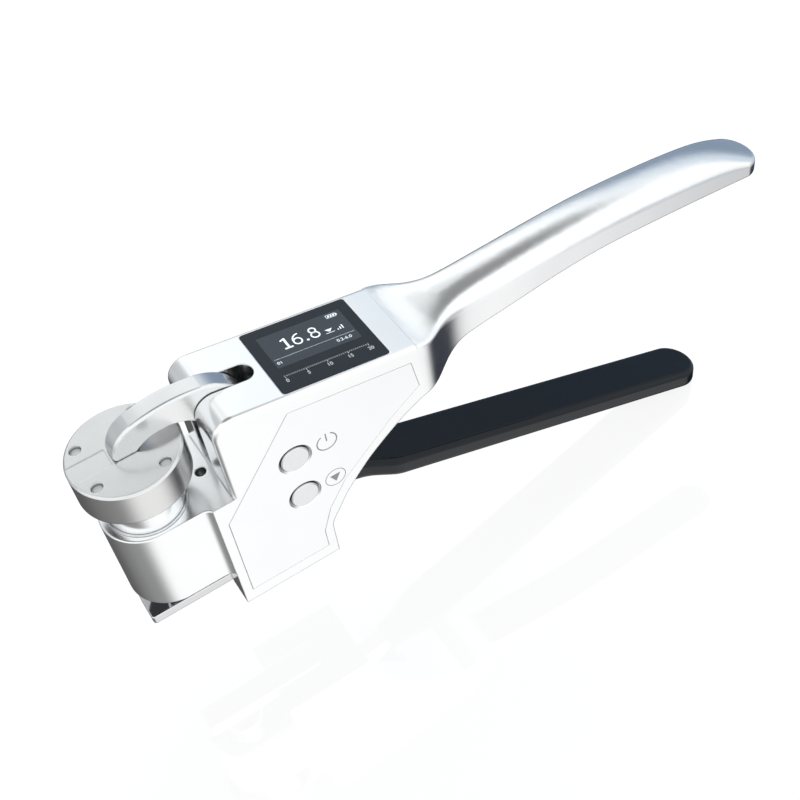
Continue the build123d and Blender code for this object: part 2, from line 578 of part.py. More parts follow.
def make_grip():
    """Moulded grip over the lever's tang."""
    drop = GRIP_H / math.cos(math.radians(GRIP_SLOPE))
    outline = ((GRIP_ROOT_X, grip_top(GRIP_ROOT_X)), (GRIP_TIP_X + 12, grip_top(GRIP_TIP_X + 12)),
               (GRIP_TIP_X + 12, grip_top(GRIP_TIP_X + 12) - drop), (GRIP_ROOT_X, grip_top(GRIP_ROOT_X) - drop))
    bar = plate(outline, HANDLE_W)
    half_root = GRIP_ROOT_W / 2
    plan_right = Spline([(GRIP_ROOT_X, half_root, 0), (GRIP_ROOT_X + 6, half_root + 0.3, 0),
                         (GRIP_FLARE_X - 6, HALF_H - 0.4, 0), (GRIP_FLARE_X + 2, HALF_H, 0)],
                        tangents=[(1, 0, 0), (1, 0, 0)])
    plan_left = mirror(plan_right, about=Plane.XZ)
    end_x = GRIP_FLARE_X + 2
    side_r = Line((end_x, HALF_H, 0), (GRIP_TIP_X, HALF_H, 0))
    side_l = Line((end_x, -HALF_H, 0), (GRIP_TIP_X, -HALF_H, 0))
    tip = ThreePointArc((GRIP_TIP_X, HALF_H, 0), (GRIP_TIP_X + HALF_H, 0, 0), (GRIP_TIP_X, -HALF_H, 0))
    root = Line((GRIP_ROOT_X, half_root, 0), (GRIP_ROOT_X, -half_root, 0))
    plan = extrude(make_face([plan_right, side_r, tip, side_l, plan_left, root]), amount=150, both=True)
    grip = bar & plan
    rims = [e for e in grip.edges() if e.center().X > GRIP_ROOT_X + 1 and e.length > 10]
    grip = fillet(rims, GRIP_R)
    tang_mid = grip_top(TANG_END_X) - drop / 2
    root_mid = grip_top(GRIP_ROOT_X) - drop / 2
    tang = plate(((GRIP_ROOT_X - 1, root_mid + TANG_H / 2), (GRIP_ROOT_X, root_mid + TANG_H / 2),
                  (TANG_END_X, tang_mid + TANG_H / 2), (TANG_END_X, tang_mid - TANG_H / 2),
                  (GRIP_ROOT_X, root_mid - TANG_H / 2), (GRIP_ROOT_X - 1, root_mid - TANG_H / 2)), LEVER_T)
    return grip - tang


# ---------------------------------------------------------------- display, cover, electronics
def make_display_window():
    """Black glass set flush into the top face."""
    return on_top(0, GLASS_L, GLASS_W, GLASS_T - 0.1, GLASS_CORNER)


def make_display_module():
    """Display panel bonded under the glass."""
    return on_top(GLASS_T, MODULE_L, MODULE_W, MODULE_T - 0.1, 0.5)


def make_display_ribbon():
    """Flat ribbon from the display down to the circuit board."""
    upper = top_z(RIBBON_X1) - (GLASS_T + MODULE_T) / math.cos(math.radians(TOP_SLOPE))
    return block(RIBBON_X0, RIBBON_X1, pcb_y0() - RIBBON_T, pcb_y0(), PCB_Z1 - RIBBON_LAP, upper)


def button_spots():
    """Height of each button, by name."""
    return {"button_power": BUTTON_POWER_Z, "button_select": BUTTON_SELECT_Z}


def make_side_cover():
    """Cover of the electronics, flush with the near side."""
    outline = offset(side_face(COVER_PATH), amount=-COVER_GAP, kind=Kind.INTERSECTION)
    cover = extrude(outline, amount=COVER_T - 0.05, dir=(0, -1, 0)).moved(Location((0, -HALF_W + COVER_T, 0)))
    for z in button_spots().values():
        cover = cover - cross_rod(BUTTON_R + BUTTON_GAP, -HALF_W - 1, -HALF_W + 2, BUTTON_X, z)
        dish = Location((BUTTON_X, -HALF_W + 0.35, z), (90, 0, 0)) * Cone(BUTTON_R + BUTTON_GAP, BUTTON_DISH_R, 0.8)
        cover = cover - dish
    return cover


def make_button(z):
    """Round push button with a retaining flange behind the cover."""
    flange_y = -HALF_W + COVER_T + 0.15
    cap = cross_rod(BUTTON_R, -HALF_W - BUTTON_PROUD, flange_y + BUTTON_FLANGE_T, BUTTON_X, z)
    cap = cap + cross_rod(BUTTON_FLANGE_R, flange_y, flange_y + BUTTON_FLANGE_T, BUTTON_X, z)
    rim = [e for e in cap.edges().filter_by(GeomType.CIRCLE) if e.center().Y < -HALF_W]
    return fillet(rim, 0.4)


def switch_y0():
    """Outer face of the switches, just behind the buttons."""
    return -HALF_W + COVER_T + 0.15 + BUTTON_FLANGE_T + BUTTON_TRAVEL + 0.1


def pcb_y0():
    """Outer face of the circuit board."""
    return switch_y0() + SWITCH_T


def make_switches():
    """Two key switches on the circuit board."""
    y0 = switch_y0()
    half = SWITCH_W / 2
    return [block(BUTTON_X - half, BUTTON_X + half, y0, y0 + SWITCH_T, z - half, z + half)
            for z in button_spots().values()]


def make_circuit_board():
    """Main circuit board."""
    board = block(PCB_X0, PCB_X1, pcb_y0(), pcb_y0() + PCB_T, PCB_Z0, PCB_Z1)
    room = extrude(inset(COVER_PATH, POCKET_RIM + BODY_GAP), amount=HALF_W, dir=(0, -1, 0))
    board = board & room
    chip = block(44.4, 50.4, pcb_y0() - 1.1, pcb_y0(), 33.0, 39.0)
    board = board + chip
    for x, z in PCB_SCREWS:
        board = board - cross_rod(PCB_SCREW_R + SEAT_GAP, -HALF_W, 0, x, z)
    return board


def make_board_screws():
    """Screws of the circuit board."""
    y0 = pcb_y0()
    return [cross_rod(PCB_SCREW_R, y0, POCKET_FLOOR_Y - 0.6, x, z)
            + cross_rod(PCB_SCREW_HEAD_R, y0 - 1.2, y0, x, z) for x, z in PCB_SCREWS]


def make_battery():
    """Flat rechargeable cell."""
    cell = block(CELL_X0, CELL_X1, POCKET_FLOOR_Y - CELL_T, POCKET_FLOOR_Y, CELL_Z0, CELL_Z1)
    return fillet(cell.edges().filter_by(Axis.Z), 1.0)


NODES = {
    "frame": make_frame,
    "jaw": make_jaw,
    "anvil": make_anvil,
    "jaw_screws": make_jaw_screws,
    "guide_bush": make_guide_bush,
    "plunger": make_plunger,
    "cap": make_cap,
    "cap_pins": make_cap_pins,
    "spindle": make_spindle,
    "needle": make_needle,
    "magnet": make_magnet,
    "load_spring": make_load_spring,
    "load_adjuster": make_load_adjuster,
    "return_spring": make_return_spring,
    "sensor_board": make_sensor_board,
    "lever": make_lever,
    "pivot_bush": make_pivot_bush,
    "pivot_screw": make_pivot_screw,
    "grip": make_grip,
    "display_window": make_display_window,
    "display_module": make_display_module,
    "display_ribbon": make_display_ribbon,
    "side_cover": make_side_cover,
    "button_power": lambda: make_button(BUTTON_POWER_Z),
    "button_select": lambda: make_button(BUTTON_SELECT_Z),
    "switches": make_switches,
    "circuit_board": make_circuit_board,
    "board_screws": make_board_screws,
    "battery": make_battery,
}


def main():
    """Build every node and write it to parts/."""
    os.makedirs("parts", exist_ok=True)
    for name, maker in NODES.items():
        made = maker()
        if isinstance(made, list):
            made = Compound(children=made)
        made.label = name
        export_step(made, f"parts/{name}.step")
        print(name, len(made.solids()), [round(v, 2) for v in tuple(made.bounding_box().size)])


if __name__ == "__main__":
    main()
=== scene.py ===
"""Pliers hardness tester: finishes, printed marks, live display and studio over the fixed frame."""

import logging
import math
from dataclasses import dataclass
from enum import Enum

import bmesh
import bpy
from mathutils import Matrix, Vector


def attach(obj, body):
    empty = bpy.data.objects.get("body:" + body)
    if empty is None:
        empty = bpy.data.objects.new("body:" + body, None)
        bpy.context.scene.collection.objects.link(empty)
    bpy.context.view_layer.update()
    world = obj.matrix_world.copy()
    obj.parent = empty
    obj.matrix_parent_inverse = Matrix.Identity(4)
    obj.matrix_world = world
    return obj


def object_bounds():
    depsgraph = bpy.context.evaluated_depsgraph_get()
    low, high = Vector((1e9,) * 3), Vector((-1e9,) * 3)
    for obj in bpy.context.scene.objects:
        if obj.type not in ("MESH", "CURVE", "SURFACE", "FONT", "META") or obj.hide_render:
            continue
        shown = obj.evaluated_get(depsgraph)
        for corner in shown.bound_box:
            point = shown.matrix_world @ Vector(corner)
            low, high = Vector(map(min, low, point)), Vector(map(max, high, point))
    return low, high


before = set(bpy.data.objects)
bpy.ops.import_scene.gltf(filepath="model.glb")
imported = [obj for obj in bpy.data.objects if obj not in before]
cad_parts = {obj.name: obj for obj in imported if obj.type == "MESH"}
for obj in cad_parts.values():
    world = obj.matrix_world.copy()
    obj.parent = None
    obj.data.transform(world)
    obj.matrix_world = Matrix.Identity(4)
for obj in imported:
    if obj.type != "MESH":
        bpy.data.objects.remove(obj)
cad_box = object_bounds()

logging.basicConfig(level=logging.INFO, format="%(message)s")
log = logging.getLogger("tester")

MM = 0.001
Colour = tuple[float, float, float]
Point = tuple[float, float, float]
Flat = tuple[float, float]
Quad = tuple[float, float, float, float]


class Body(Enum):
    """Bodies of the tester that the added pieces ride on."""

    HOUSING = "body"


class Align(Enum):
    """Which part of a line of figures stands on its given place."""

    START = "LEFT"
    MIDDLE = "CENTER"


# ---------------------------------------------------------------- shader building


class Shader:
    """Thin builder round a node tree, so that a material reads as a list of steps."""

    def __init__(self, tree: bpy.types.NodeTree) -> None:
        """Empty the tree and keep it.

        Args:
            tree: The node tree to build in.
        """
        self.tree = tree
        tree.nodes.clear()

    def node(self, kind: str, **settings: object) -> bpy.types.Node:
        """Add a node.

        Args:
            kind: Node type without its ShaderNode prefix, or a full type name.
            settings: Attributes to set on the node.

        Returns:
            The new node.
        """
        full = kind if kind.startswith(("ShaderNode", "Node")) else f"ShaderNode{kind}"
        made = self.tree.nodes.new(full)
        for key, value in settings.items():
            setattr(made, key, value)
        return made

    def feed(self, socket: bpy.types.NodeSocket, source: object) -> None:
        """Link a socket to another one, or give it a plain value.

        Args:
            socket: The input to fill.
            source: An output socket or a plain value.
        """
        if isinstance(source, bpy.types.NodeSocket):
            self.tree.links.new(source, socket)
        else:
            socket.default_value = source

    def maths(self, operation: str, *values: object, clamp: bool = False) -> bpy.types.NodeSocket:
        """Add a Math node.

        Args:
            operation: Blender's name of the operation.
            values: Sockets or numbers, in order.
            clamp: Whether the result is kept between 0 and 1.

        Returns:
            The node's output socket.
        """
        made = self.node("Math", operation=operation, use_clamp=clamp)
        for socket, value in zip(made.inputs, values):
            self.feed(socket, value)
        return made.outputs[0]

    def ramp(self, value: object, span: Flat, start: float, end: float) -> bpy.types.NodeSocket:
        """Map a value smoothly from one range to another.

        Args:
            value: Socket or number to map.
            span: The values that give start and end.
            start: Result at the first value and before it.
            end: Result at the second value and past it.

        Returns:
            The node's output socket.
        """
        made = self.node("MapRange", interpolation_type="SMOOTHSTEP")
        for socket, item in zip(made.inputs, (value, *span, start, end)):
            self.feed(socket, item)
        return made.outputs[0]

    def mix(self, factor: object, first: object, second: object) -> bpy.types.NodeSocket:
        """Mix two colours.

        Args:
            factor: Share of the second colour.
            first: First colour, as a socket or RGBA.
            second: Second colour, as a socket or RGBA.

        Returns:
            The node's colour output.
        """
        made = self.node("Mix", data_type="RGBA")
        self.feed(made.inputs["Factor"], factor)
        colours = [s for s in made.inputs if s.type == "RGBA"]
        self.feed(colours[0], first)
        self.feed(colours[1], second)
        return next(s for s in made.outputs if s.type == "RGBA")


def rgba(colour: Colour) -> Quad:
    """Opaque RGBA from a colour."""
    return (*colour, 1.0)


def link(obj: bpy.types.Object) -> None:
    """Put an object in the scene."""
    bpy.context.scene.collection.objects.link(obj)


def plain(holder: bpy.types.Object) -> bpy.types.Mesh:
    """Turn a new object into a plain mesh, with its modifiers applied, and remove it.

    Args:
        holder: The object, which isn't in the scene yet.

    Returns:
        Its mesh.
    """
    link(holder)
    evaluated = holder.evaluated_get(bpy.context.evaluated_depsgraph_get())
    made = bpy.data.meshes.new_from_object(evaluated)
    holder.modifiers.clear()
    bpy.data.objects.remove(holder)
    return made


class Effects:
    """Shader node groups that several finishes share, each built once.

    Attributes:
        GRAIN_DETAIL: Octaves of the grain's noise.
        GRAIN_ROUGHNESS: Weight of its finer octaves.
        GRAIN_TONE: Noise values at which the grain is darkest and lightest.
        MARKS_DETAIL: Octaves of the handling marks' noise.
        MARKS_DISTORTION: How far the marks' clouds are drawn about.
        MIDDLE: Middle value of a noise.
        EDGE_TURN: Cosines between the rounded and the flat normal, on a worn and highlighted edge
            and off it.
        BREAK_SPAN: Noise values between which wear and the painted highlight come in.
        BREAK_LEAST: Share of the wear and painted highlight that is left in the gaps.
        SHADE_SPAN: Shares of open surroundings that count as fully shaded and as unshaded, for the
            painted shade in holes and joints.
        BEVEL_SAMPLES: Rays that round an edge.
        CREVICE_SHADE_SAMPLES: Rays that look for a crevice, to paint shade into it.
    """

    GRAIN_DETAIL = 3.0
    GRAIN_ROUGHNESS = 0.6
    GRAIN_TONE = (0.3, 0.7)
    MARKS_DETAIL = 5.0
    MARKS_DISTORTION = 0.6
    MIDDLE = 0.5
    EDGE_TURN = (0.9, 0.999)
    BREAK_SPAN = (0.3, 0.6)
    BREAK_LEAST = 0.35
    SHADE_SPAN = (0.2, 0.75)
    BEVEL_SAMPLES = 6
    CREVICE_SHADE_SAMPLES = 8

    def __init__(self) -> None:
        """Build every group."""
        self.grain = self._grain()
        self.marks = self._marks()
        self.edge_wear_and_highlight = self._rubbed_and_highlighted_edges()
        self.crevice_shade = self._painted_crevice_shade()

    @staticmethod
    def _start(name: str, inputs: dict[str, float], outputs: tuple[str, ...]) -> bpy.types.NodeTree:
        """Make an empty group with float sockets.

        Args:
            name: Name of the group.
            inputs: Input names with their default values.
            outputs: Output names.

        Returns:
            The group's tree.
        """
        tree = bpy.data.node_groups.new(name, "ShaderNodeTree")
        for label, value in inputs.items():
            socket = tree.interface.new_socket(label, in_out="INPUT", socket_type="NodeSocketFloat")
            socket.default_value = value
        for label in outputs:
            tree.interface.new_socket(label, in_out="OUTPUT", socket_type="NodeSocketFloat")
        return tree

    def _grain(self) -> bpy.types.NodeTree:
        """Fine grain drawn out along X, as brushing or blasting leaves it.

        Returns:
            The group's tree.
        """
        tree = self._start("fine_grain", {"Cells": 1500.0, "Draw": 1.0}, ("Height", "Tone"))
        s = Shader(tree)
        given, out = s.node("NodeGroupInput"), s.node("NodeGroupOutput")
        place = s.node("TexCoord").outputs["Object"]
        split = s.node("SeparateXYZ")
        s.feed(split.inputs[0], place)
        drawn = s.node("CombineXYZ")
        s.feed(drawn.inputs[0], s.maths("DIVIDE", split.outputs[0], given.outputs["Draw"]))
        s.feed(drawn.inputs[1], split.outputs[1])
        s.feed(drawn.inputs[2], split.outputs[2])
        noise = s.node("TexNoise")
        s.feed(noise.inputs["Vector"], drawn.outputs[0])
        s.feed(noise.inputs["Scale"], given.outputs["Cells"])
        s.feed(noise.inputs["Detail"], self.GRAIN_DETAIL)
        s.feed(noise.inputs["Roughness"], self.GRAIN_ROUGHNESS)
        s.feed(out.inputs["Height"], noise.outputs["Fac"])
        s.feed(out.inputs["Tone"], s.ramp(noise.outputs["Fac"], self.GRAIN_TONE, 0.0, 1.0))
        return tree

    def _marks(self) -> bpy.types.NodeTree:
        """Soft clouded patches, as handling and cleaning leave them.

        Returns:
            The group's tree.
        """
        tree = self._start("handling_marks", {"Cells": 60.0, "Contrast": 1.0}, ("Patch",))
        s = Shader(tree)
        given, out = s.node("NodeGroupInput"), s.node("NodeGroupOutput")
        broad = s.node("TexNoise")
        s.feed(broad.inputs["Vector"], s.node("TexCoord").outputs["Object"])
        s.feed(broad.inputs["Scale"], given.outputs["Cells"])
        s.feed(broad.inputs["Detail"], self.MARKS_DETAIL)
        s.feed(broad.inputs["Distortion"], self.MARKS_DISTORTION)
        centred = s.maths("SUBTRACT", broad.outputs["Fac"], self.MIDDLE)
        widened = s.maths("MULTIPLY", centred, given.outputs["Contrast"])
        s.feed(out.inputs["Patch"], s.maths("ADD", widened, self.MIDDLE, clamp=True))
        return tree

    def _rubbed_and_highlighted_edges(self) -> bpy.types.NodeTree:
        """Mask of the sharp edges, where a finish rubs bright and a highlight is painted on.

        Returns:
            The group's tree.
        """
        tree = self._start("rubbed_edge_highlight", {"Radius": 0.0004, "Break": 400.0}, ("Edge",))
        s = Shader(tree)
        given, out = s.node("NodeGroupInput"), s.node("NodeGroupOutput")
        rounded = s.node("Bevel", samples=self.BEVEL_SAMPLES)
        s.feed(rounded.inputs["Radius"], given.outputs["Radius"])
        turn = s.node("VectorMath", operation="DOT_PRODUCT")
        s.feed(turn.inputs[0], rounded.outputs[0])
        s.feed(turn.inputs[1], s.node("NewGeometry").outputs["Normal"])
        edge = s.ramp(turn.outputs["Value"], self.EDGE_TURN, 1.0, 0.0)
        breaks = s.node("TexNoise")
        s.feed(breaks.inputs["Vector"], s.node("TexCoord").outputs["Object"])
        s.feed(breaks.inputs["Scale"], given.outputs["Break"])
        broken = s.ramp(breaks.outputs["Fac"], self.BREAK_SPAN, self.BREAK_LEAST, 1.0)
        s.feed(out.inputs["Edge"], s.maths("MULTIPLY", edge, broken))
        return tree

    def _painted_crevice_shade(self) -> bpy.types.NodeTree:
        """Painted shade: mask that falls from 1 on open faces to 0 deep in holes, gaps and joints,
        where ambient occlusion finds them shut in.

        Returns:
            The group's tree.
        """
        tree = self._start("crevice_shade", {"Reach": 0.0014}, ("Unshaded",))
        s = Shader(tree)
        given, out = s.node("NodeGroupInput"), s.node("NodeGroupOutput")
        shade = s.node("AmbientOcclusion", samples=self.CREVICE_SHADE_SAMPLES)
        s.feed(shade.inputs["Distance"], given.outputs["Reach"])
        s.feed(out.inputs["Unshaded"], s.ramp(shade.outputs["AO"], self.SHADE_SPAN, 0.0, 1.0))
        return tree


MARKED_TONE = 0.5  # share of the plain colour that handling marks bring back
MARKED_SPAN = (0.2, 0.8)  # strengths of a handling mark that give the least and the most roughness
SMOOTHEST = 0.02  # least roughness of any finish
COAT_ROUGHNESS = 0.06


@dataclass(frozen=True)
class Finish:
    """One surface finish.

    Attributes:
        name: Name of the material.
        base: Main colour, linear.
        spread: How far the tone wanders from the main colour.
        metallic: 1 for bare or plated metal, 0 for the rest.
        roughness: Middle roughness.
        rough_spread: How far handling marks move the roughness.
        cells: Grain cells per metre.
        draw: How far the grain is drawn out along X.
        depth: Height of the grain in metres.
        edge: Colour of rubbed edges, which also stands for a painted highlight along them, or None.
        edge_radius: Width of the rubbed edges in metres.
        coat: Clear coat weight.
        specular: Specular level.
        emission: Strength of its own light.
        painted_joint_shade: Share of the main colour left deep in holes and joints, as painted
            shade.
    """

    name: str
    base: Colour
    spread: float = 0.04
    metallic: float = 0.0
    roughness: float = 0.4
    rough_spread: float = 0.08
    cells: float = 1800.0
    draw: float = 1.0
    depth: float = 0.000004
    edge: Colour | None = None
    edge_radius: float = 0.0004
    coat: float = 0.0
    specular: float = 0.5
    emission: float = 0.0
    painted_joint_shade: float = 0.3

    def build(self, effects: Effects) -> bpy.types.Material:
        """Make the material.

        Args:
            effects: The shared node groups.

        Returns:
            The finished material.
        """
        material = bpy.data.materials.new(self.name)
        material.use_nodes = True
        s = Shader(material.node_tree)
        skin, out = s.node("BsdfPrincipled"), s.node("OutputMaterial")
        s.feed(out.inputs["Surface"], skin.outputs["BSDF"])
        grain = s.node("Group", node_tree=effects.grain)
        s.feed(grain.inputs["Cells"], self.cells)
        s.feed(grain.inputs["Draw"], self.draw)
        marks = s.node("Group", node_tree=effects.marks)
        dark = tuple(c * (1 - self.spread) for c in self.base)
        light = tuple(min(1.0, c * (1 + self.spread)) for c in self.base)
        tone = s.mix(grain.outputs["Tone"], rgba(dark), rgba(light))
        marked = s.maths("MULTIPLY", marks.outputs["Patch"], MARKED_TONE)
        tone = s.mix(marked, tone, rgba(self.base))
        # Rubbed wear and painted highlight: the colour lightens along sharp edges.
        if self.edge is not None:
            edge_wear_and_highlight = s.node("Group", node_tree=effects.edge_wear_and_highlight)
            s.feed(edge_wear_and_highlight.inputs["Radius"], self.edge_radius)
            tone = s.mix(edge_wear_and_highlight.outputs["Edge"], tone, rgba(self.edge))
        # Painted shade: the colour darkens in holes, gaps and joints, as far as ambient occlusion
        # finds them shut in.
        crevice_shade = s.node("Group", node_tree=effects.crevice_shade)
        shaded_tone = tuple(c * self.painted_joint_shade for c in self.base)
        tone = s.mix(crevice_shade.outputs["Unshaded"], rgba(shaded_tone), tone)
        s.feed(skin.inputs["Base Color"], tone)
        s.feed(skin.inputs["Metallic"], self.metallic)
        low = max(SMOOTHEST, self.roughness - self.rough_spread)
        high = self.roughness + self.rough_spread
        s.feed(skin.inputs["Roughness"], s.ramp(marks.outputs["Patch"], MARKED_SPAN, low, high))
        s.feed(skin.inputs["Specular IOR Level"], self.specular)
        s.feed(skin.inputs["Coat Weight"], self.coat)
        s.feed(skin.inputs["Coat Roughness"], COAT_ROUGHNESS)
        if self.emission > 0:
            s.feed(skin.inputs["Emission Color"], tone)
            s.feed(skin.inputs["Emission Strength"], self.emission)
        bump = s.node("Bump")
        s.feed(bump.inputs["Strength"], 1.0)
        s.feed(bump.inputs["Distance"], self.depth)
        s.feed(bump.inputs["Height"], grain.outputs["Height"])
        if self.edge is not None:
            rounded = s.node("Bevel", samples=effects.BEVEL_SAMPLES)
            s.feed(rounded.inputs["Radius"], self.edge_radius)
            s.feed(bump.inputs["Normal"], rounded.outputs[0])
        s.feed(skin.inputs["Normal"], bump.outputs["Normal"])
        return material


# Near-white of rubbed edges, which also serves as a painted highlight along them.
RUBBED_HIGHLIGHT_WHITE = (0.97, 0.97, 0.98)


@dataclass(frozen=True)
class Metal(Finish):
    """A bare or plated metal, fine in grain and bright at its edges, partly from rubbing and partly
    from a painted highlight.
    """

    spread: float = 0.02
    metallic: float = 1.0
    rough_spread: float = 0.04
    cells: float = 2600.0
    depth: float = 0.000001
    edge: Colour | None = RUBBED_HIGHLIGHT_WHITE
    edge_radius: float = 0.0003


FINISHES: dict[str, Finish] = {
    finish.name: finish
    for finish in (
        Metal("satin_aluminium", (0.92, 0.925, 0.93), spread=0.015, roughness=0.20,
              rough_spread=0.03, depth=0.0000008, edge_radius=0.0005, painted_joint_shade=0.45),
        Metal("cover_aluminium", (0.915, 0.92, 0.93), spread=0.015, roughness=0.22,
              rough_spread=0.03, depth=0.0000008, edge_radius=0.0001, painted_joint_shade=0.8),
        Metal("turned_aluminium", (0.77, 0.78, 0.79), spread=0.03, roughness=0.26, cells=3000.0,
              draw=3.0),
        Metal("satin_nickel", (0.73, 0.728, 0.725), roughness=0.24, draw=2.0, edge_radius=0.0004,
              painted_joint_shade=0.06),
        Metal("ground_nickel", (0.92, 0.922, 0.925), roughness=0.15, rough_spread=0.03, draw=4.0),
        Metal("bright_nickel", (0.82, 0.822, 0.825), roughness=0.26, draw=2.0),
        Metal("sunk_pin", (0.66, 0.658, 0.655), spread=0.05, roughness=0.32, rough_spread=0.05,
              cells=4000.0, depth=0.000002, edge_radius=0.0002, painted_joint_shade=0.15),
        Metal("polished_steel", (0.80, 0.80, 0.81), roughness=0.07, rough_spread=0.03, cells=900.0,
              draw=6.0, depth=0.0000004),
        # Painted reflection: polished steel darkened for the jaw, standing in for the dark
        # underside of the nose that its top reflects.
        Metal("shaded_jaw_steel", (0.66, 0.66, 0.67), roughness=0.06, rough_spread=0.03, cells=900.0,
              draw=6.0, depth=0.0000004),
        Metal("hard_steel", (0.55, 0.55, 0.56), spread=0.05, roughness=0.25, rough_spread=0.06,
              cells=2500.0, draw=4.0, depth=0.000002, edge_radius=0.0002),
        Metal("screw_steel", (0.42, 0.42, 0.43), spread=0.08, roughness=0.36, rough_spread=0.08,
              cells=2500.0, depth=0.000004, edge=(0.7, 0.7, 0.7)),
        Metal("spring_wire", (0.32, 0.32, 0.33), spread=0.08, roughness=0.33, rough_spread=0.08,
              cells=2500.0, depth=0.000004, edge=None),
        Metal("turned_brass", (0.72, 0.52, 0.24), spread=0.06, roughness=0.28, rough_spread=0.06,
              cells=2500.0, draw=3.0, depth=0.000003, edge=(0.9, 0.75, 0.5)),
        Finish("gloss_black", (0.003, 0.0045, 0.007), spread=0.15, roughness=0.14,
               rough_spread=0.04, cells=1300.0, depth=0.0000012, coat=0.1, specular=0.2),
        Finish("board_green", (0.01, 0.10, 0.035), spread=0.2, roughness=0.35, rough_spread=0.1,
               cells=700.0, depth=0.00001, coat=0.4),
        Finish("switch_black", (0.03, 0.03, 0.03), spread=0.1, roughness=0.5, rough_spread=0.1),
        Finish("panel_black", (0.02, 0.02, 0.024), spread=0.1, roughness=0.25, rough_spread=0.05),
        Finish("ribbon_amber", (0.55, 0.26, 0.04), spread=0.1, roughness=0.35, cells=900.0,
               draw=20.0),
        Finish("cell_foil", (0.55, 0.57, 0.6), spread=0.05, metallic=0.6, rough_spread=0.1,
               cells=500.0, depth=0.00001),
        Finish("black_glass", (0.004, 0.008, 0.013), spread=0.10, roughness=0.05,
               rough_spread=0.02, cells=300.0, depth=0.0000004, specular=0.3),
        Finish("lit_panel", (0.0135, 0.0175, 0.0225), spread=0.12, roughness=0.22,
               rough_spread=0.03, cells=5200.0, depth=0.0000004, specular=0.3, emission=1.3),
        Finish("lit_mark", (0.60, 0.66, 0.72), spread=0.02, rough_spread=0.05, cells=5200.0,
               depth=0.0, specular=0.2, emission=0.45),
        Finish("grey_print", (0.20, 0.205, 0.215), spread=0.06, roughness=0.5, rough_spread=0.05,
               cells=4000.0),
        Finish("white_print", (0.42, 0.44, 0.46), spread=0.05, roughness=0.5, rough_spread=0.05,
               cells=4000.0),
    )
}

NODE_FINISH: dict[str, str] = {
    "frame": "satin_aluminium",
    "side_cover": "cover_aluminium",
    "button_power": "turned_aluminium",
    "button_select": "turned_aluminium",
    "jaw": "shaded_jaw_steel",
    "anvil": "hard_steel",
    "needle": "hard_steel",
    "jaw_screws": "screw_steel",
    "pivot_screw": "screw_steel",
    "board_screws": "screw_steel",
    "guide_bush": "polished_steel",
    "plunger": "ground_nickel",
    "cap": "satin_nickel",
    "lever": "bright_nickel",
    "cap_pins": "sunk_pin",
    "spindle": "hard_steel",
    "magnet": "turned_aluminium",
    "load_spring": "spring_wire",
    "return_spring": "spring_wire",
    "load_adjuster": "turned_brass",
    "pivot_bush": "turned_brass",
    "grip": "gloss_black",
    "display_window": "black_glass",
    "display_module": "panel_black",
    "display_ribbon": "ribbon_amber",
    "sensor_board": "board_green",
    "circuit_board": "board_green",
    "switches": "switch_black",
    "battery": "cell_foil",
}


class Workshop:
    """Makes materials once and hands them out, and dresses the fixed nodes."""

    def __init__(self) -> None:
        """Build the shared effects."""
        self.effects = Effects()
        self._made: dict[str, bpy.types.Material] = {}

    def material(self, name: str) -> bpy.types.Material:
        """Material of a finish, built the first time it is asked for.

        Args:
            name: Name of the finish.

        Returns:
            Its material.
        """
        if name not in self._made:
            self._made[name] = FINISHES[name].build(self.effects)
        return self._made[name]

    def dress_nodes(self) -> None:
        """Give every fixed node its finish."""
        for node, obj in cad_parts.items():
            for place in obj.material_slots:
                place.material = self.material(NODE_FINISH[node])
            log.info("node %s: %s", node, NODE_FINISH[node])

    def piece(self, name: str, mesh: bpy.types.Mesh, finish: str, body: Body) -> bpy.types.Object:
        """Put a mesh in the scene as a piece of the tester.

        Args:
            name: Name of the piece.
            mesh: Its mesh, already in place.
            finish: Name of its finish.
            body: The body it rides on.

        Returns:
            The new object.
        """
        mesh.materials.clear()
        mesh.materials.append(self.material(finish))
        obj = bpy.data.objects.new(name, mesh)
        link(obj)
        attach(obj, body.value)
        log.info("piece %s: %s on %s", name, finish, body.value)
        return obj


# ---------------------------------------------------------------- flat marks

CORNER_STEPS = 6  # facets of a rounded corner
ARC_STEPS = 64  # facets of a ring
WELD = 1e-5  # points of a mark nearer than this are one, in millimetres
FIGURE_SHARE = 0.72  # height of a figure over the size of its font
FIGURE_STEPS = 6  # facets of a curve in a figure


@dataclass(frozen=True)
class Sheet:
    """A flat place that marks lie on.

    Attributes:
        origin: A point of the surface, in millimetres.
        right: Direction in which marks read.
        up: Direction of a mark's top.
    """

    origin: Point
    right: Point
    up: Point

    def place(self, lift: float) -> Matrix:
        """Matrix from the sheet's own millimetres to the scene.

        Args:
            lift: Height over the surface in millimetres.

        Returns:
            The matrix.
        """
        x, y = Vector(self.right).normalized(), Vector(self.up).normalized()
        z = x.cross(y)
        turn = Matrix((x, y, z)).transposed().to_4x4()
        shift = Matrix.Translation((Vector(self.origin) + z * lift) * MM)
        return shift @ turn @ Matrix.Scale(MM, 4)


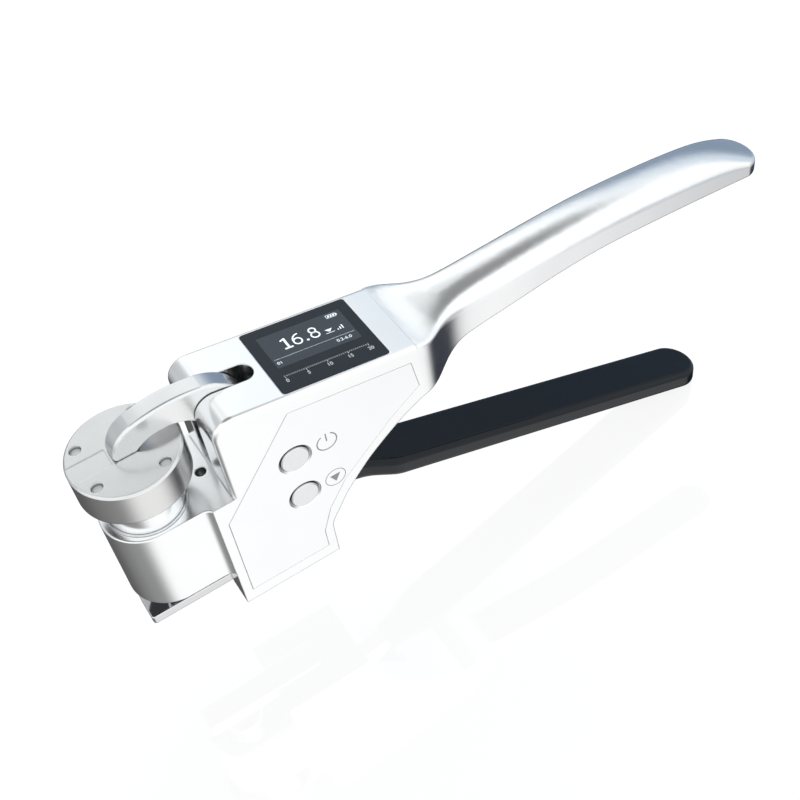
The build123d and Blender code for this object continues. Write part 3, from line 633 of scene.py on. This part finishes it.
class Marks:
    """Flat shapes in a sheet's own millimetres, gathered into one mesh."""

    def __init__(self) -> None:
        """Start with nothing drawn."""
        self.shape = bmesh.new()

    def outline(self, points: tuple[Flat, ...] | list[Flat]) -> None:
        """Add a filled outline.

        Args:
            points: Its corners in order, anticlockwise.
        """
        corners = [self.shape.verts.new((x, y, 0)) for x, y in points]
        self.shape.faces.new(corners)

    def bar(self, x0: float, y0: float, x1: float, y1: float) -> None:
        """Add a filled rectangle.

        Args:
            x0: Left edge.
            y0: Lower edge.
            x1: Right edge.
            y1: Upper edge.
        """
        self.outline([(x0, y0), (x1, y0), (x1, y1), (x0, y1)])

    def rounded(self, x0: float, y0: float, x1: float, y1: float, radius: float) -> None:
        """Add a filled rectangle with rounded corners.

        Args:
            x0: Left edge.
            y0: Lower edge.
            x1: Right edge.
            y1: Upper edge.
            radius: Radius of the corners.
        """
        points = []
        for cx, cy, first in ((x1 - radius, y1 - radius, 0), (x0 + radius, y1 - radius, 90),
                              (x0 + radius, y0 + radius, 180), (x1 - radius, y0 + radius, 270)):
            points += oval((cx, cy), (radius, radius), (first, first + 90), CORNER_STEPS)
        self.outline(points)

    def arc(self, centre: Flat, radius: float, width: float, sweep: Flat) -> None:
        """Add a band along an arc.

        Args:
            centre: Middle of the arc.
            radius: Middle radius.
            width: Width of the band.
            sweep: First and last angle in degrees.
        """
        (cx, cy), (start, end) = centre, sweep
        inner, outer = radius - width / 2, radius + width / 2
        rows = []
        for step in range(ARC_STEPS + 1):
            a = math.radians(start + (end - start) * step / ARC_STEPS)
            c, s = math.cos(a), math.sin(a)
            rows.append([self.shape.verts.new((cx + r * c, cy + r * s, 0)) for r in (inner, outer)])
        self._band(rows)

    def stroke(self, points: list[Flat], width: float, closed: bool = False) -> None:
        """Add a band of even width along a line of points.

        Args:
            points: The line's points in order.
            width: Width of the band.
            closed: Whether the line comes back to its first point.
        """
        last = len(points) - 1
        rows = []
        for i, (x, y) in enumerate(points):
            before = points[i - 1] if closed or i > 0 else points[i]
            after = points[(i + 1) % len(points)] if closed or i < last else points[i]
            along = Vector((after[0] - before[0], after[1] - before[1])).normalized()
            dx, dy = -along.y * width / 2, along.x * width / 2
            sides = ((x + dx, y + dy, 0), (x - dx, y - dy, 0))
            rows.append([self.shape.verts.new(place) for place in sides])
        self._band(rows, closed)

    def _band(self, rows: list[list[bmesh.types.BMVert]], closed: bool = False) -> None:
        """Fill a band between its two edges.

        Args:
            rows: Pairs of corners across the band, in order.
            closed: Whether the last pair joins the first.
        """
        following = rows[1:] + rows[:1] if closed else rows[1:]
        for (a0, b0), (a1, b1) in zip(rows, following):
            self.shape.faces.new((a0, b0, b1, a1))

    def mesh(self, name: str, sheet: Sheet, lift: float) -> bpy.types.Mesh:
        """Finish the marks as a mesh in the scene.

        Args:
            name: Name of the mesh.
            sheet: Where the marks lie.
            lift: Height over the surface in millimetres.

        Returns:
            The mesh.
        """
        bmesh.ops.remove_doubles(self.shape, verts=self.shape.verts, dist=WELD)
        made = bpy.data.meshes.new(name)
        self.shape.to_mesh(made)
        self.shape.free()
        made.transform(sheet.place(lift))
        return made


def oval(centre: Flat, radii: Flat, sweep: Flat, steps: int) -> list[Flat]:
    """Points along an oval, both ends included.

    Args:
        centre: Middle of the oval.
        radii: Half its width and half its height.
        sweep: First and last angle in degrees.
        steps: How many facets it has.

    Returns:
        The points in order.
    """
    (cx, cy), (rx, ry), (start, end) = centre, radii, sweep
    turns = [math.radians(start + (end - start) * i / steps) for i in range(steps + 1)]
    return [(cx + rx * math.cos(a), cy + ry * math.sin(a)) for a in turns]


@dataclass(frozen=True)
class Bowl:
    """A round stroke of a large figure, in millimetres.

    Attributes:
        centre: Middle of its oval.
        radii: Half the oval's width and half its height.
        sweep: First and last angle in degrees.
        steps: How many facets it has.
        width: Width of the stroke.
        closed: Whether it comes back to its first point.
    """

    centre: Flat
    radii: Flat
    sweep: Flat = (0, 345)
    steps: int = 23
    width: float = 0.46
    closed: bool = True

    def draw(self, marks: Marks) -> None:
        """Add the stroke to some marks."""
        marks.stroke(oval(self.centre, self.radii, self.sweep, self.steps), self.width, self.closed)


@dataclass(frozen=True)
class Figures:
    """A line of small figures, sizes in millimetres.

    Attributes:
        text: The figures.
        height: Height of a figure.
        place: Where the base line starts, or its middle.
        stretch: Width over the font's own.
        weight: Extra stroke width.
        align: What stands on the place.
    """

    text: str
    height: float
    place: Flat
    stretch: float = 1.0
    weight: float = 0.0
    align: Align = Align.START

    def mesh(self, sheet: Sheet, lift: float) -> bpy.types.Mesh:
        """Put the figures on a sheet.

        Args:
            sheet: Where they lie.
            lift: Height over the surface in millimetres.

        Returns:
            The mesh, in the scene's metres.
        """
        curve = bpy.data.curves.new("figures", "FONT")
        curve.body = self.text
        curve.size = self.height / FIGURE_SHARE
        curve.align_x = self.align.value
        curve.offset = self.weight
        curve.resolution_u = FIGURE_STEPS
        mesh = plain(bpy.data.objects.new("figures", curve))
        bpy.data.curves.remove(curve)
        shift = Matrix.Translation((*self.place, 0))
        mesh.transform(shift @ Matrix.Diagonal((self.stretch, 1, 1, 1)))
        mesh.transform(sheet.place(lift))
        return mesh


def joined(name: str, meshes: list[bpy.types.Mesh]) -> bpy.types.Mesh:
    """One mesh out of several.

    Args:
        name: Name of the new mesh.
        meshes: The meshes, which are removed.

    Returns:
        The new mesh.
    """
    shape = bmesh.new()
    for mesh in meshes:
        shape.from_mesh(mesh)
        bpy.data.meshes.remove(mesh)
    made = bpy.data.meshes.new(name)
    shape.to_mesh(made)
    shape.free()
    return made


class Repeat:
    """A Geometry Nodes row of equal bars."""

    @staticmethod
    def tree() -> bpy.types.NodeTree:
        """Build the tree, with the count, the pitch and the bar's size as inputs.

        Returns:
            The Geometry Nodes tree.
        """
        tree = bpy.data.node_groups.new("bar_row", "GeometryNodeTree")
        face = tree.interface
        face.new_socket("Geometry", in_out="OUTPUT", socket_type="NodeSocketGeometry")
        face.new_socket("Count", in_out="INPUT", socket_type="NodeSocketInt")
        for label in ("Pitch", "Width", "Height"):
            face.new_socket(label, in_out="INPUT", socket_type="NodeSocketFloat")
        face.new_socket("Material", in_out="INPUT", socket_type="NodeSocketMaterial")
        nodes, links = tree.nodes, tree.links
        given, out = nodes.new("NodeGroupInput"), nodes.new("NodeGroupOutput")
        line = nodes.new("GeometryNodeMeshLine")
        step = nodes.new("ShaderNodeCombineXYZ")
        links.new(given.outputs["Pitch"], step.inputs["X"])
        links.new(given.outputs["Count"], line.inputs["Count"])
        links.new(step.outputs[0], line.inputs["Offset"])
        bar = nodes.new("GeometryNodeMeshGrid")
        links.new(given.outputs["Width"], bar.inputs["Size X"])
        links.new(given.outputs["Height"], bar.inputs["Size Y"])
        bar.inputs["Vertices X"].default_value = 2
        bar.inputs["Vertices Y"].default_value = 2
        spread = nodes.new("GeometryNodeInstanceOnPoints")
        links.new(line.outputs["Mesh"], spread.inputs["Points"])
        links.new(bar.outputs["Mesh"], spread.inputs["Instance"])
        real = nodes.new("GeometryNodeRealizeInstances")
        links.new(spread.outputs["Instances"], real.inputs["Geometry"])
        paint = nodes.new("GeometryNodeSetMaterial")
        links.new(real.outputs["Geometry"], paint.inputs["Geometry"])
        links.new(given.outputs["Material"], paint.inputs["Material"])
        links.new(paint.outputs["Geometry"], out.inputs[0])
        return tree


@dataclass(frozen=True)
class BarRow:
    """A row of bars made with the shared tree.

    Attributes:
        count: How many bars.
        pitch: Distance from bar to bar in millimetres.
        width: Width of a bar.
        height: Height of a bar.
        start: Middle of the first bar on its sheet.
    """

    count: int
    pitch: float
    width: float
    height: float
    start: Flat

    def mesh(self, tree: bpy.types.NodeTree, material: bpy.types.Material, sheet: Sheet,
             lift: float) -> bpy.types.Mesh:
        """Evaluate the tree and put the bars on a sheet.

        Args:
            tree: The tree of Repeat.
            material: Material of the bars.
            sheet: Where they lie.
            lift: Height over the surface in millimetres.

        Returns:
            The plain mesh.
        """
        holder = bpy.data.objects.new("bar_row", bpy.data.meshes.new("bar_row_base"))
        modifier = holder.modifiers.new("bar_row", "NODES")
        modifier.node_group = tree
        values = {"Count": self.count, "Pitch": self.pitch, "Width": self.width,
                  "Height": self.height, "Material": material}
        for item in tree.interface.items_tree:
            if item.in_out == "INPUT":
                modifier[item.identifier] = values[item.name]
        made = plain(holder)
        made.transform(Matrix.Translation((*self.start, 0)))
        made.transform(sheet.place(lift))
        return made


# ---------------------------------------------------------------- sub-assemblies


@dataclass
class Display:
    """Lit picture on the black glass and the printed scale below it, sizes in millimetres.

    The marks' places are measured from the middle of the glass, right and up as they read.

    Attributes:
        slope: Slope of the glass in degrees.
        centre_x: Middle of the glass along the tester.
        centre_z: Height of the middle of the glass.
        panel: Left, lower, right and upper edge of the lit panel.
        panel_corner: Radius of the panel's corners.
        lift: Height of the panel over the glass.
        step: Height of the marks over the panel.
        stem: Outlines of the stem, the flag and the foot of the large one.
        bowls: Round strokes of the other large figures and the point.
        tip: Outline of the point of the sign beside the reading.
        bars: Left, lower, right and upper edges of the bars of that sign.
        notes: Small figures under the reading.
        dots: Row of dots between the reading and the small figures.
        cell: Left, lower, right and upper edge of the battery sign.
        cell_wall: Width of its line.
        cell_pole: Length of its pole, and how much lower the pole is at each end.
        cell_bar: Width and slant of a bar in it, and the bar's distance from its top and bottom.
        cell_first: Distance of the first bar from the left edge.
        cell_pitch: Distance from bar to bar.
        cell_count: How many bars it has.
        ticks: Short and long lines of the printed scale.
        number_step: Distance from number to number on the scale, and how much each adds.
        number_first: Place of the scale's first number.
        number_height: Height of its numbers.
        number_weight: Extra stroke width of its numbers.
        number_count: How many numbers it has.
    """

    slope: float = 9.83
    centre_x: float = 59.8
    centre_z: float = 68.85
    panel: Quad = (-13.3, -3.7, 13.4, 9.9)
    panel_corner: float = 0.25
    lift: float = 0.012
    step: float = 0.008
    stem: tuple[tuple[Flat, ...], ...] = (
        ((-6.75, 2.7), (-6.05, 2.7), (-6.05, 6.65), (-6.6, 6.65), (-6.75, 6.5)),
        ((-6.75, 6.5), (-7.75, 6.15), (-7.75, 5.65), (-6.75, 5.95)),
        ((-7.8, 2.15), (-5.2, 2.15), (-5.2, 2.7), (-7.8, 2.7)),
    )
    bowls: tuple[Bowl, ...] = (
        Bowl((-3.1, 3.7), (1.22, 1.22)),
        Bowl((-2.0, 3.95), (2.33, 2.55), (174, 88), 14, closed=False),
        Bowl((-0.35, 2.7), (0.2, 0.2), (0, 330), 11, 0.4),
        Bowl((2.35, 5.55), (1.02, 0.98)),
        Bowl((2.4, 3.55), (1.24, 1.12)),
    )
    tip: tuple[Flat, ...] = ((5.4, 3.75), (6.6, 2.55), (7.8, 3.75))
    bars: tuple[Quad, ...] = (
        (5.2, 2.1, 8.0, 2.27),
        (9.0, 2.1, 9.35, 2.6),
        (9.8, 2.1, 10.15, 3.15),
        (10.6, 2.1, 10.95, 3.7),
    )
    notes: tuple[Figures, ...] = (
        Figures("01", 1.1, (-12.6, -2.35), 1.1), Figures("0.2-6.0", 1.15, (6.3, -2.35), 1.1))
    dots: BarRow = BarRow(64, 0.4, 0.2, 0.13, (-12.6, -0.3))
    cell: Quad = (8.5, 7.7, 11.7, 9.1)
    cell_wall: float = 0.14
    cell_pole: Flat = (0.35, 0.4)
    cell_bar: Point = (0.5, 0.35, 0.3)
    cell_first: float = 0.35
    cell_pitch: float = 0.85
    cell_count: int = 3
    ticks: tuple[BarRow, ...] = (
        BarRow(41, 0.66, 0.14, 0.55, (-13.2, -7.2)), BarRow(5, 6.6, 0.2, 1.0, (-13.2, -7.4)))
    number_step: tuple[float, int] = (6.6, 5)
    number_first: Flat = (-13.2, -9.6)
    number_height: float = 1.3
    number_weight: float = 0.02
    number_count: int = 5

    def sheet(self) -> Sheet:
        """The sloping glass.

        Returns:
            The sheet that the marks lie on.
        """
        a = math.radians(self.slope)
        return Sheet((self.centre_x, 0.0, self.centre_z), (math.cos(a), 0, -math.sin(a)), (0, 1, 0))

    def build(self, shop: Workshop, tree: bpy.types.NodeTree) -> None:
        """Make the lit panel, its figures and marks, and the printed scale.

        Args:
            shop: The materials.
            tree: The bar row tree.
        """
        sheet = self.sheet()
        panel = Marks()
        panel.rounded(*self.panel, self.panel_corner)
        lit_panel = panel.mesh("display_lit_panel", sheet, self.lift)
        shop.piece("display_lit_panel", lit_panel, "lit_panel", Body.HOUSING)
        over = self.lift + self.step
        lit = [self._reading().mesh("reading_figures", sheet, over),
               self._unit_mark().mesh("unit_sign", sheet, over)]
        lit += [figures.mesh(sheet, over) for figures in self.notes]
        lit += [self._cell().mesh("cell_sign", sheet, over),
                self.dots.mesh(tree, shop.material("lit_mark"), sheet, over)]
        shop.piece("display_reading", joined("display_reading", lit), "lit_mark",
                   Body.HOUSING)
        printed = [row.mesh(tree, shop.material("white_print"), sheet, over) for row in self.ticks]
        printed += [figures.mesh(sheet, over) for figures in self._numbers()]
        shop.piece("display_scale_print", joined("display_scale_print", printed), "white_print",
                   Body.HOUSING)

    def _numbers(self) -> list[Figures]:
        """Numbers under the long lines of the scale.

        Returns:
            The numbers from left to right.
        """
        (pitch, adds), (x, y) = self.number_step, self.number_first
        return [Figures(str(adds * i), self.number_height, (x + pitch * i, y),
                        weight=self.number_weight, align=Align.MIDDLE)
                for i in range(self.number_count)]

    def _reading(self) -> Marks:
        """The large figures 16.8 with a footed one.

        Returns:
            The figures.
        """
        sign = Marks()
        for outline in self.stem:
            sign.outline(outline)
        for bowl in self.bowls:
            bowl.draw(sign)
        return sign

    def _unit_mark(self) -> Marks:
        """Small sign of a point pressed into a surface, with rising bars, beside the reading.

        Returns:
            The sign.
        """
        sign = Marks()
        sign.outline(self.tip)
        for edges in self.bars:
            sign.bar(*edges)
        return sign

    def _cell(self) -> Marks:
        """Battery sign at the top right.

        Returns:
            The sign.
        """
        sign = Marks()
        (x0, y0, x1, y1), w = self.cell, self.cell_wall
        (pole, lower), (width, slant, gap) = self.cell_pole, self.cell_bar
        sign.bar(x0, y0, x1, y0 + w)
        sign.bar(x0, y1 - w, x1, y1)
        sign.bar(x0, y0 + w, x0 + w, y1 - w)
        sign.bar(x1 - w, y0 + w, x1, y1 - w)
        sign.bar(x1, y0 + lower, x1 + pole, y1 - lower)
        for i in range(self.cell_count):
            left = x0 + self.cell_first + i * self.cell_pitch
            right = left + width
            sign.outline([(left, y0 + gap), (right, y0 + gap),
                          (right + slant, y1 - gap), (left + slant, y1 - gap)])
        return sign


@dataclass
class SideMarks:
    """Printed signs beside the two buttons, sizes in millimetres.

    Attributes:
        face_y: The cover's outer face.
        power: Middle of the power sign, along and up.
        select: Middle of the down arrow's ring, along and up.
        radius: Middle radius of the power sign's ring.
        stroke: Width of its line.
        sweep: First and last angle of its ring in degrees.
        bar_foot: Foot of its bar over its middle.
        bar_head: Head of its bar over its ring.
        ring_more: How much larger the arrow's ring is.
        ring_stroke: Width of the arrow's ring.
        arrow: Half the arrow's width, and its top and its tip over its middle.
        lift: Height of the signs over the cover.
    """

    face_y: float = -14.95
    power: Flat = (51.3, 46.7)
    select: Flat = (51.3, 29.75)
    radius: float = 3.2
    stroke: float = 0.42
    sweep: Flat = (118, 422)
    bar_foot: float = 0.2
    bar_head: float = 0.35
    ring_more: float = 0.15
    ring_stroke: float = 0.26
    arrow: Point = (1.75, 1.25, -1.9)
    lift: float = 0.01

    def build(self, shop: Workshop) -> None:
        """Draw the power sign and the down arrow in its ring.

        Args:
            shop: The materials.
        """
        sheet = Sheet((0.0, self.face_y, 0.0), (1, 0, 0), (0, 0, 1))
        sign = Marks()
        x, z = self.power
        sign.arc(self.power, self.radius, self.stroke, self.sweep)
        half = self.stroke / 2
        sign.bar(x - half, z + self.bar_foot, x + half, z + self.radius + self.bar_head)
        shop.piece("sign_power", sign.mesh("sign_power", sheet, self.lift), "grey_print",
                   Body.HOUSING)
        sign = Marks()
        x, z = self.select
        sign.arc(self.select, self.radius + self.ring_more, self.ring_stroke, (0, 360))
        wide, top, tip = self.arrow
        sign.outline([(x - wide, z + top), (x, z + tip), (x + wide, z + top)])
        shop.piece("sign_select", sign.mesh("sign_select", sheet, self.lift), "grey_print",
                   Body.HOUSING)


# ---------------------------------------------------------------- studio


@dataclass(frozen=True)
class Patch:
    """A soft area of the surround.

    Attributes:
        towards: Direction of its middle.
        inner: Angle from its middle within which it is full, in degrees.
        outer: Angle from its middle at which it ends, in degrees.
        colour: Its light.
        strength: Share of the surround that it hides where it is full.
    """

    towards: Point
    inner: float
    outer: float
    colour: Colour
    strength: float = 1.0


@dataclass
class Studio:
    """Pale floor, soft light and the camera.

    Attributes:
        front: Direction from which the turns of low_light are counted.
        sky: Light from above.
        sky_span: Heights of a ray at which low_light ends and the sky is full.
        low_light: Turns from the front in degrees, with the light near the floor there.
        low_peak: Light that the ramp's white stands for, since a ramp ends at 1.
        patches: Soft areas over the rest, in order.
        floor_size: Side of the floor in metres.
        floor_gap: Distance from the tester to the floor in metres.
        floor_base: Grey of the floor under its own light.
        floor_roughness: Roughness of the floor.
        floor_specular: Specular level of the floor.
        floor_glow: Strength of the floor's own light.
        lamps: Names and places of the lamps.
        lamp_size: Side of a lamp in metres.
        lamp_power: Power of a lamp in watts.
        lamp_aim: Point that the lamps face.
        place: Place of the camera.
        right: Direction to the right in its picture.
        up: Direction upwards in its picture.
        forward: Direction it looks in.
        lens: Focal length in millimetres.
        sensor: Width of its sensor in millimetres.
        clip: Nearest and farthest distance it sees, in metres.
    """

    front: Point = (0.087, -0.996, 0.0)
    sky: Colour = (1.15, 1.19, 1.20)
    sky_span: Flat = (-0.55, 0.30)
    low_light: tuple[Flat, ...] = (
        (180, 0.12), (150, 0.11), (120, 0.18), (90, 0.26),
        (60, 0.34), (45, 0.60), (30, 0.97), (0, 1.10),
    )
    low_peak: float = 1.25
    patches: tuple[Patch, ...] = (
        Patch((0.903, 0.421, 0.087), 25, 50, (0.52, 0.62, 0.74), 0.8),
        Patch((0.742, 0.668, 0.052), 8, 34, (0.22, 0.29, 0.39), 0.95),
        Patch((-0.574, 0.819, 0.0), 12, 40, (0.46, 0.48, 0.51), 0.7),
        Patch((-0.62, 0.59, 0.52), 10, 34, (0.52, 0.53, 0.55), 0.85),
        Patch((0.059, 0.163, 0.985), 15, 36, (0.27, 0.275, 0.28)),
        Patch((0.354, 0.612, -0.707), 10, 34, (0.02, 0.02, 0.025), 0.9),
        Patch((0.62, 0.02, -0.76), 12, 27, (0.025, 0.03, 0.045), 0.97),
        Patch((0.567, -0.676, -0.469), 3, 14, (0.40, 0.46, 0.52), 0.6),
    )
    floor_size: float = 40.0
    floor_gap: float = 0.0005
    floor_base: float = 0.08
    floor_roughness: float = 0.03
    floor_specular: float = 1.0
    floor_glow: float = 0.87
    lamps: tuple[tuple[str, Point], ...] = (
        ("key_box", (-0.35, -0.45, 0.75)), ("rear_box", (0.45, 0.45, 0.75)))
    lamp_size: float = 0.8
    lamp_power: float = 5.0
    lamp_aim: Point = (0.08, 0.0, 0.03)
    place: Point = (-0.0233347, -0.2298829, 0.3248979)
    right: Point = (0.8403426, -0.53079754, -0.10990126)
    up: Point = (0.46871467, 0.60971202, 0.63918527)
    forward: Point = (0.27226985, 0.58864694, -0.76115958)
    lens: float = 56.77
    sensor: float = 36.0
    clip: Flat = (0.01, 50.0)

    def build(self) -> None:
        """Make the floor, the world, the lamps and the camera."""
        self._floor()
        self._world()
        for name, place in self.lamps:
            self._lamp(name, place)
        self._camera()
        view = bpy.context.scene.view_settings
        view.view_transform = "Standard"
        view.look = "None"

    def _floor(self) -> None:
        """Pale floor just under the lowest point of the grip."""
        low = cad_box[0].z - self.floor_gap
        half = self.floor_size / 2
        mesh = bpy.data.meshes.new("floor")
        corners = [(-half, -half, low), (half, -half, low), (half, half, low), (-half, half, low)]
        mesh.from_pydata(corners, [], [(0, 1, 2, 3)])
        floor = bpy.data.objects.new("floor", mesh)
        link(floor)
        paper = bpy.data.materials.new("floor_paper")
        paper.use_nodes = True
        skin = paper.node_tree.nodes["Principled BSDF"]
        skin.inputs["Base Color"].default_value = rgba((self.floor_base,) * 3)
        skin.inputs["Roughness"].default_value = self.floor_roughness
        skin.inputs["Specular IOR Level"].default_value = self.floor_specular
        skin.inputs["Emission Color"].default_value = rgba((1.0, 1.0, 1.0))
        skin.inputs["Emission Strength"].default_value = self.floor_glow
        mesh.materials.append(paper)
        floor.visible_glossy = False

    def _world(self) -> None:
        """Soft surround: white above and in front, greyer near the floor elsewhere."""
        world = bpy.data.worlds.new("studio")
        bpy.context.scene.world = world
        world.use_nodes = True
        s = Shader(world.node_tree)
        out, light = s.node("OutputWorld"), s.node("Background")
        s.feed(out.inputs["Surface"], light.outputs[0])
        way = s.node("TexCoord").outputs["Generated"]
        parts, level = s.node("SeparateXYZ"), s.node("CombineXYZ")
        flat = s.node("VectorMath", operation="NORMALIZE")
        s.feed(parts.inputs[0], way)
        s.feed(level.inputs[0], parts.outputs[0])
        s.feed(level.inputs[1], parts.outputs[1])
        s.feed(flat.inputs[0], level.outputs[0])
        turn = self._towards(s, flat.outputs[0], self.front)
        sides = s.node("ValToRGB")
        sides.color_ramp.interpolation = "CARDINAL"
        while len(sides.color_ramp.elements) < len(self.low_light):
            sides.color_ramp.elements.new(0.5)
        for stop, (angle, value) in zip(sides.color_ramp.elements, self.low_light):
            stop.position = (math.cos(math.radians(angle)) + 1) / 2
            stop.color = rgba((value / self.low_peak,) * 3)
        s.feed(sides.inputs[0], s.maths("MULTIPLY_ADD", turn, 0.5, 0.5))
        low = s.node("VectorMath", operation="SCALE")
        s.feed(low.inputs[0], sides.outputs[0])
        s.feed(low.inputs["Scale"], self.low_peak)
        height = s.ramp(parts.outputs[2], self.sky_span, 0.0, 1.0)
        tone = s.mix(height, low.outputs[0], rgba(self.sky))
        for patch in self.patches:
            span = (math.cos(math.radians(patch.outer)), math.cos(math.radians(patch.inner)))
            near = s.ramp(self._towards(s, way, patch.towards), span, 0.0, patch.strength)
            tone = s.mix(near, tone, rgba(patch.colour))
        s.feed(light.inputs["Color"], tone)
        s.feed(light.inputs["Strength"], 1.0)

    @staticmethod
    def _towards(s: Shader, way: bpy.types.NodeSocket, direction: Point) -> bpy.types.NodeSocket:
        """How nearly a ray points along a direction.

        Args:
            s: Builder of the tree.
            way: Direction of the ray.
            direction: Direction it is compared with.

        Returns:
            Socket with the cosine of the angle between them.
        """
        turn = s.node("VectorMath", operation="DOT_PRODUCT")
        s.feed(turn.inputs[0], way)
        s.feed(turn.inputs[1], Vector(direction).normalized())
        return turn.outputs["Value"]

    def _lamp(self, name: str, place: Point) -> None:
        """A soft square lamp aimed at the tester.

        Args:
            name: Name of the lamp.
            place: Place of the lamp.
        """
        data = bpy.data.lights.new(name, "AREA")
        data.size = self.lamp_size
        data.energy = self.lamp_power
        lamp = bpy.data.objects.new(name, data)
        lamp.location = place
        lamp.visible_glossy = False
        aim = Vector(self.lamp_aim) - Vector(place)
        lamp.rotation_euler = aim.to_track_quat("-Z", "Y").to_euler()
        link(lamp)

    def _camera(self) -> None:
        """Camera at the viewing angle of a product shot."""
        data = bpy.data.cameras.new("camera")
        data.lens = self.lens
        data.sensor_width = self.sensor
        data.clip_start, data.clip_end = self.clip
        camera = bpy.data.objects.new("camera", data)
        turn = Matrix((self.right, self.up, [-c for c in self.forward])).transposed().to_4x4()
        camera.matrix_world = Matrix.Translation(self.place) @ turn
        link(camera)
        bpy.context.scene.camera = camera


def main() -> None:
    """Build the studio, dress the fixed nodes and add the pieces."""
    Studio().build()
    shop = Workshop()
    shop.dress_nodes()
    tree = Repeat.tree()
    Display().build(shop, tree)
    SideMarks().build(shop)


if __name__ == "__main__":
    main()
